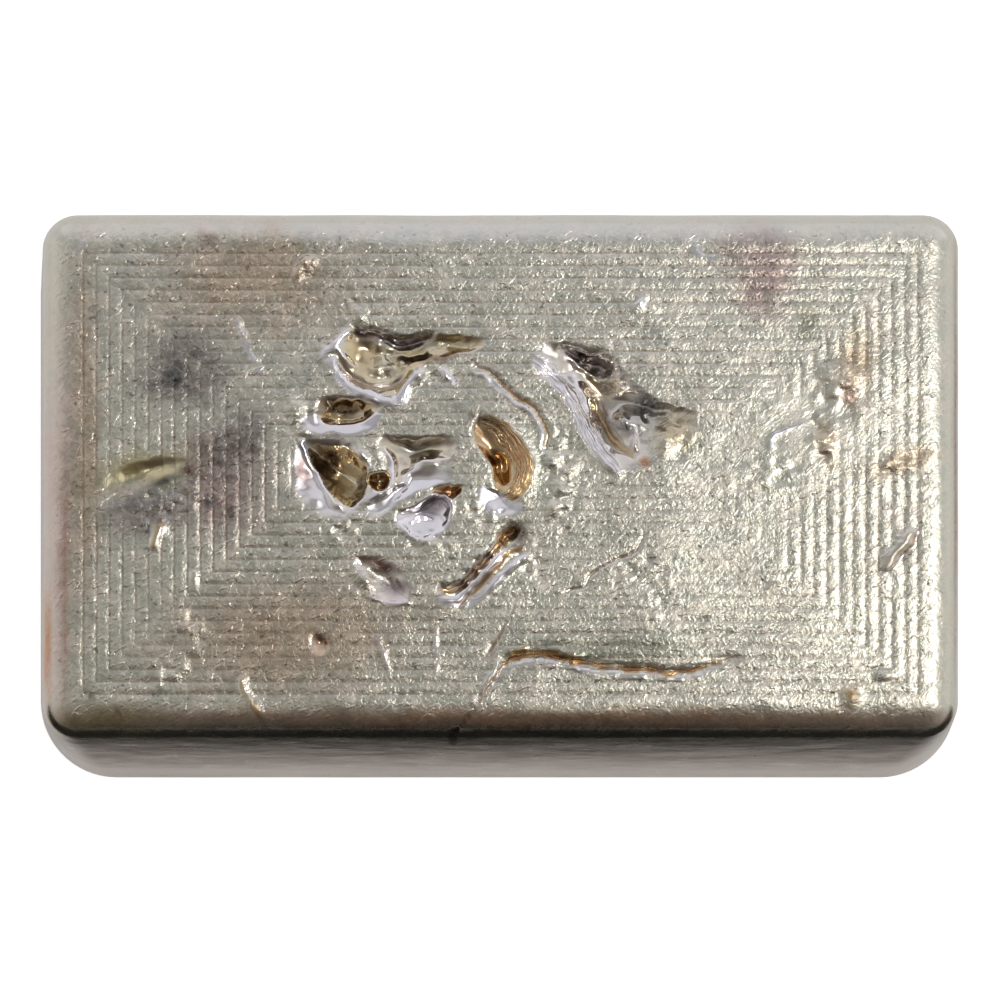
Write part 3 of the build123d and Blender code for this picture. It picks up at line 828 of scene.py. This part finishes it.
# The bottoms of the track's lines and the middles of gaps are painted darker: painted shade, with some oxide.
shade_and_oxide = np.maximum(all_points(line_face, 0, 0)[:, None] * line_shade_and_oxide,
                  all_points(gap_face, strip_shade_and_oxide * on_rim, 0)[:, None] * gap_shade_and_oxide)
# The tarnish patches, painted shade and a painted reflection among them, times the painted shade in lines and
# gaps.
stained_and_shaded = tarnish_and_painted_light(vertices[:, 0], vertices[:, 1]) * (1 - shade_and_oxide)
stained_and_shaded[strip_end:] = 1
point_attribute("free_surface", "FLOAT", "value", all_points(free_face, strip_free * on_rim, free_below))
point_attribute("gold_film", "FLOAT", "value", all_points(gold_face, strip_gold * on_rim, 0))
point_attribute("mould_grain", "FLOAT", "value", all_points(grain_face, grain_strip, grain_below))
point_attribute("mould_wall", "FLOAT", "value", all_points(np.zeros_like(x_grid), wall_strip, 1))
point_attribute("flow_stripes", "FLOAT_VECTOR", "vector", stripes)
point_attribute("tarnish_and_painted_light", "FLOAT_COLOR", "color", stained_and_shaded)


# The metal: a pale greenish silver with a thin tarnish, grainy where it touched the mould, polished where
# it froze free, with a film of oxide that turns from champagne to copper gold as it thickens
def add(tree, kind, inputs=None, **settings):
    """A shader node with its settings and its inputs, each a value or another node's output."""
    made = tree.nodes.new(kind)
    for key, value in settings.items():
        setattr(made, key, value)
    for key, value in (inputs or {}).items():
        if isinstance(value, bpy.types.NodeSocket):
            tree.links.new(value, made.inputs[key])
        else:
            made.inputs[key].default_value = value
    return made


def mix_colour(tree, factor, first_colour, second_colour, blend="MIX"):
    """A colour mixed from two by a factor."""
    return add(tree, "ShaderNodeMix", {0: factor, 6: first_colour, 7: second_colour}, data_type="RGBA",
               blend_type=blend).outputs[2]


def mix_number(tree, factor, first_value, second_value):
    """A number mixed from two by a factor."""
    return add(tree, "ShaderNodeMix", {0: factor, 2: first_value, 3: second_value},
               data_type="FLOAT").outputs[0]


def maths(tree, operation, first_value, second_value):
    """One number from two."""
    return add(tree, "ShaderNodeMath", {0: first_value, 1: second_value}, operation=operation).outputs[0]


def remap(tree, value, from_range, to_range=(0.0, 1.0), kind="LINEAR"):
    """A value from one range taken to another, and held at its ends."""
    low, high = from_range
    to_low, to_high = to_range
    return add(tree, "ShaderNodeMapRange", {"Value": value, "From Min": low, "From Max": high,
                                            "To Min": to_low, "To Max": to_high},
               interpolation_type=kind).outputs[0]


def noise(tree, place, scale, detail, roughness=0.5, distortion=0.0):
    """Random values from 0 to 1 that change over about 1 / scale."""
    return add(tree, "ShaderNodeTexNoise", {"Vector": place, "Scale": scale, "Detail": detail,
                                            "Roughness": roughness, "Distortion": distortion}).outputs["Fac"]


def attribute(tree, name, output="Fac"):
    """What the mesh says of each point under a name."""
    return add(tree, "ShaderNodeAttribute", attribute_name=name).outputs[output]


def bump(tree, height, distance, strength, normal=None):
    """The normal that a height map gives, on top of another normal if there is one."""
    below = {} if normal is None else {"Normal": normal}
    return add(tree, "ShaderNodeBump", {"Height": height, "Distance": distance, "Strength": strength,
                                        **below}).outputs["Normal"]


def node_material(name):
    """A material with its node tree and its shader."""
    material = bpy.data.materials.new(name)
    material.use_nodes = True
    return material, material.node_tree, material.node_tree.nodes["Principled BSDF"]


mould_silver = (0.665, 0.662, 0.575, 1)
pinkish_silver = (0.695, 0.650, 0.565, 1)
wall_silver = (0.62, 0.56, 0.52, 1)
free_silver = (0.80, 0.77, 0.80, 1)
champagne = (0.68, 0.60, 0.45, 1)
copper_gold = (0.58, 0.38, 0.19, 1)

metal, tree, shader = node_material("cast_metal")
shader.inputs["Metallic"].default_value = 1.0
place = add(tree, "ShaderNodeTexCoord").outputs["Object"]
is_free = attribute(tree, "free_surface")
is_gold = attribute(tree, "gold_film")
has_grain = attribute(tree, "mould_grain")
is_wall = attribute(tree, "mould_wall")
flow = attribute(tree, "flow_stripes", "Vector")
patches = attribute(tree, "tarnish_and_painted_light", "Color")

# Grain of three sizes: fine sand marks, coarser wrinkles, and slanting chips that lie like scales in clusters
sand_height = 0.34
wrinkle_height = 0.50
sand = noise(tree, place, scale=3400.0, detail=3.0, roughness=0.6)
wrinkle = noise(tree, place, scale=1250.0, detail=3.0, roughness=0.55, distortion=1.2)
blotch = noise(tree, place, scale=420.0, detail=4.0, roughness=0.6)
turned = add(tree, "ShaderNodeMapping", {"Vector": place, "Rotation": (0, 0, math.radians(35)),
                                         "Scale": (2.6, 1.0, 1.0)}, vector_type="TEXTURE").outputs[0]
chips = remap(tree, noise(tree, turned, scale=2100.0, detail=1.0), (0.58, 0.66))
clusters = remap(tree, blotch, (0.44, 0.62), (0.12, 0.52))
height_map = maths(tree, "ADD", maths(tree, "MULTIPLY", sand, sand_height),
                   maths(tree, "MULTIPLY", wrinkle, wrinkle_height))
height_map = maths(tree, "ADD", height_map, maths(tree, "MULTIPLY", chips, clusters))
moulded = maths(tree, "MULTIPLY", has_grain, maths(tree, "SUBTRACT", 1.0, is_free))
grain_strength = remap(tree, moulded, (0.0, 1.0), (0.03, 1.0))
normal = bump(tree, height_map, distance=0.00013, strength=grain_strength)

# Faint level lines on the walls, where the mould filled in steps
lap_strength = 0.30
level = add(tree, "ShaderNodeMapping", {"Vector": place, "Scale": (0.40, 0.40, 1.0)}).outputs[0]
laps = noise(tree, level, scale=300.0, detail=3.0)
on_wall = maths(tree, "MULTIPLY", is_wall, lap_strength)
normal = bump(tree, laps, distance=0.00060, strength=on_wall, normal=normal)

# Stripes drawn out along the flow, close together across it and long along it
stripes_across, stripes_along = 4.5, 0.55
parts = add(tree, "ShaderNodeSeparateXYZ", {0: flow})
stretched = add(tree, "ShaderNodeCombineXYZ", {
    0: maths(tree, "MULTIPLY", parts.outputs[0], stripes_across),
    1: maths(tree, "MULTIPLY", parts.outputs[1], stripes_along)}).outputs[0]
threads = noise(tree, stretched, scale=1.0, detail=3.0, distortion=0.3)
normal = bump(tree, threads, distance=0.00030, strength=parts.outputs[2], normal=normal)
tree.links.new(normal, shader.inputs["Normal"])

# Colour: silver in two tones, darker in its wrinkles' low parts, in specks and in blotches, warmer walls
# with faint level lines, and the film on what froze free. The tarnish, with the painted shade and painted
# reflection among its patches, multiplies it all, less where the grain stands up.
specks = noise(tree, place, scale=1700.0, detail=2.0)
# Darker in the wrinkles' low parts, in small specks and in blotches.
wrinkle_shade = remap(tree, wrinkle, (0.36, 0.58), (0.80, 1.01))
speck_shade = remap(tree, specks, (0.28, 0.34), (0.50, 1.0))
blotch_shade = remap(tree, blotch, (0.34, 0.66), (0.90, 1.10))
wrinkle_and_speck_darkening = maths(tree, "MULTIPLY", maths(tree, "MULTIPLY", wrinkle_shade, speck_shade), blotch_shade)
tone = remap(tree, blotch, (0.35, 0.65))
base = mix_colour(tree, tone, mould_silver, pinkish_silver)
base = mix_colour(tree, 1.0, base, mix_number(tree, moulded, 1.0, wrinkle_and_speck_darkening), "MULTIPLY")
lap_shade = remap(tree, laps, (0.32, 0.62), (0.93, 1.05))
wall_blotch_shade = remap(tree, blotch, (0.34, 0.66), (0.90, 1.08))
mottled = maths(tree, "MULTIPLY", lap_shade, wall_blotch_shade)
base = mix_colour(tree, is_wall, base, mix_colour(tree, 1.0, wall_silver, mottled, "MULTIPLY"))
thin_film = remap(tree, is_gold, (0.0, 0.45))
thick_film = remap(tree, is_gold, (0.45, 1.0))
film = mix_colour(tree, thick_film, mix_colour(tree, thin_film, free_silver, champagne), copper_gold)
base = mix_colour(tree, is_free, base, film)
tarnish_and_light_strength = remap(tree, wrinkle, (0.30, 0.60), (1.0, 0.72))
base = mix_colour(tree, tarnish_and_light_strength, base, patches, "MULTIPLY")
tree.links.new(base, shader.inputs["Base Color"])

# Roughness: satin in soft blotches, a little duller on the walls, and polished where it froze free
wall_dullness = 0.06
polish = 0.055
satin = remap(tree, blotch, (0.3, 0.7), (0.20, 0.30))
dull = maths(tree, "ADD", satin, maths(tree, "MULTIPLY", is_wall, wall_dullness))
tree.links.new(mix_number(tree, is_free, dull, polish), shader.inputs["Roughness"])
mesh.materials.append(metal)

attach(ingot, "root")
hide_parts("ingot")


# The floor: a plain sheet of pale paper that the block lies on. It glows to the camera and in the metal's
# reflections, so that it shows white there, and lights nothing else.
def matte_material(name):
    """A material with no shine, with its node tree and its shader."""
    material, tree, shader = node_material(name)
    shader.inputs["Roughness"].default_value = 0.9
    shader.inputs["Specular IOR Level"].default_value = 0.0
    return material, tree, shader


def level_sheet(name, half_length, front, back, height, material):
    """A flat rectangle that lies level, from its front to its back in Y."""
    sheet = bpy.data.meshes.new(name)
    sheet.from_pydata([(-half_length, front, height), (half_length, front, height),
                       (half_length, back, height), (-half_length, back, height)], [], [(0, 1, 2, 3)])
    sheet.materials.append(material)
    return put(name, sheet)


floor_size = 3
glow_to_camera = 0.70
glow_to_metal = 0.18
paper, tree, shader = matte_material("paper")
shader.inputs["Base Color"].default_value = (0.82, 0.82, 0.82, 1)
shader.inputs["Emission Color"].default_value = (1, 1, 1, 1)
path = add(tree, "ShaderNodeLightPath").outputs
to_metal = maths(tree, "MAXIMUM", path["Is Glossy Ray"], path["Is Transmission Ray"])
glow = maths(tree, "ADD", maths(tree, "MULTIPLY", path["Is Camera Ray"], glow_to_camera),
             maths(tree, "MULTIPLY", to_metal, glow_to_metal))
tree.links.new(glow, shader.inputs["Emission Strength"])
floor = level_sheet("floor", floor_size, -floor_size, floor_size, 0, paper)

# The dark card: it lies in front of the block, out of the picture, and only the metal reflects it. It stands
# for a dark room, and its edge near the block is paler, over a millimetre and a half.
card_half_length = 0.4
card_front, card_back = -0.5, -0.0315
card_height = 0.0005
edge_end, dark_start = -0.0330, -0.0344
edge_grey = (0.60, 0.56, 0.53, 1)
card_black = (0.035, 0.032, 0.030, 1)
black, tree, shader = matte_material("black_card")
depth = add(tree, "ShaderNodeSeparateXYZ", {0: add(tree, "ShaderNodeTexCoord").outputs["Object"]}).outputs[1]
shade = mix_colour(tree, remap(tree, depth, (edge_end, dark_start)), edge_grey, card_black)
tree.links.new(shade, shader.inputs["Base Color"])
card = level_sheet("dark_card", card_half_length, card_front, card_back, card_height, black)
card.visible_camera = False
card.visible_diffuse = False
card.visible_shadow = False


# The light: a soft lamp above and to the right, in a room that is pale behind and dark in front
def toward(tree, direction, aim):
    """How far a direction points along an aim: 1 straight along it, -1 straight away from it."""
    return add(tree, "ShaderNodeVectorMath", {0: direction, 1: Vector(aim).normalized()},
               operation="DOT_PRODUCT").outputs["Value"]


def soft_lamp(name, place, size, power, colour):
    """A square area lamp that faces the middle of the block."""
    light = bpy.data.lights.new(name, "AREA")
    light.size = size
    light.energy = power
    light.color = colour
    lamp = put(name, light)
    lamp.location = place
    block_middle = Vector((0, 0, 0.01))
    lamp.rotation_euler = (block_middle - Vector(place)).to_track_quat("-Z", "Y").to_euler()


# Each stop of the room: how far the direction points to the pale side, and the light from there. The left
# and right sides glow a little, and a window stands above on the right.
pale_side = (0.15, 0.90, 0.25)
room_colours = [
    (-1.00, (0.060, 0.052, 0.048)),
    (-0.85, (0.105, 0.088, 0.078)),
    (-0.62, (0.115, 0.098, 0.088)),
    (-0.40, (0.165, 0.142, 0.125)),
    (-0.16, (0.230, 0.205, 0.180)),
    (0.26, (0.440, 0.436, 0.410)),
    (0.54, (0.375, 0.382, 0.400)),
    (0.72, (0.700, 0.695, 0.725)),
    (1.00, (0.770, 0.765, 0.795)),
]
side_glow = 0.42
window_aim = (0.46, -0.05, 0.89)
window_edge = 0.915
window_glow = 1.05
world = bpy.data.worlds.new("room")
bpy.context.scene.world = world
world.use_nodes = True
tree = world.node_tree
direction = add(tree, "ShaderNodeTexCoord").outputs["Generated"]
paleness = remap(tree, toward(tree, direction, pale_side), (-1.0, 1.0))
ramp = add(tree, "ShaderNodeValToRGB", {0: paleness})
for number, (stop, colour) in enumerate(room_colours):
    spot = ramp.color_ramp.elements[number] if number < 2 else ramp.color_ramp.elements.new((stop + 1) / 2)
    spot.position = (stop + 1) / 2
    spot.color = (*colour, 1)
sideways = add(tree, "ShaderNodeSeparateXYZ", {0: direction}).outputs[0]
sides = maths(tree, "MULTIPLY", maths(tree, "MULTIPLY", sideways, sideways), side_glow)
window = remap(tree, toward(tree, direction, window_aim), (window_edge, 1.0), (0.0, window_glow),
               "SMOOTHSTEP")
room = mix_colour(tree, 1.0, ramp.outputs[0], maths(tree, "ADD", sides, window), "ADD")
seen = mix_colour(tree, add(tree, "ShaderNodeLightPath").outputs["Is Camera Ray"], room, (1, 1, 1, 1))
tree.links.new(seen, tree.nodes["Background"].inputs["Color"])
soft_lamp("key", place=(0.34, -0.02, 0.66), size=0.11, power=0.58, colour=(1.0, 0.97, 0.89))

# The camera: straight down, near the front edge of the block, with its view shifted to the block
camera = put("camera", bpy.data.cameras.new("camera"))
camera.location = (-0.0020, -0.0199, 0.187)
camera.data.sensor_width = 36
camera.data.lens = 64.6
camera.data.shift_x = 0.021
camera.data.shift_y = 0.189
camera.data.clip_start = 0.01
bpy.context.scene.camera = camera
bpy.context.scene.view_settings.view_transform = "Standard"
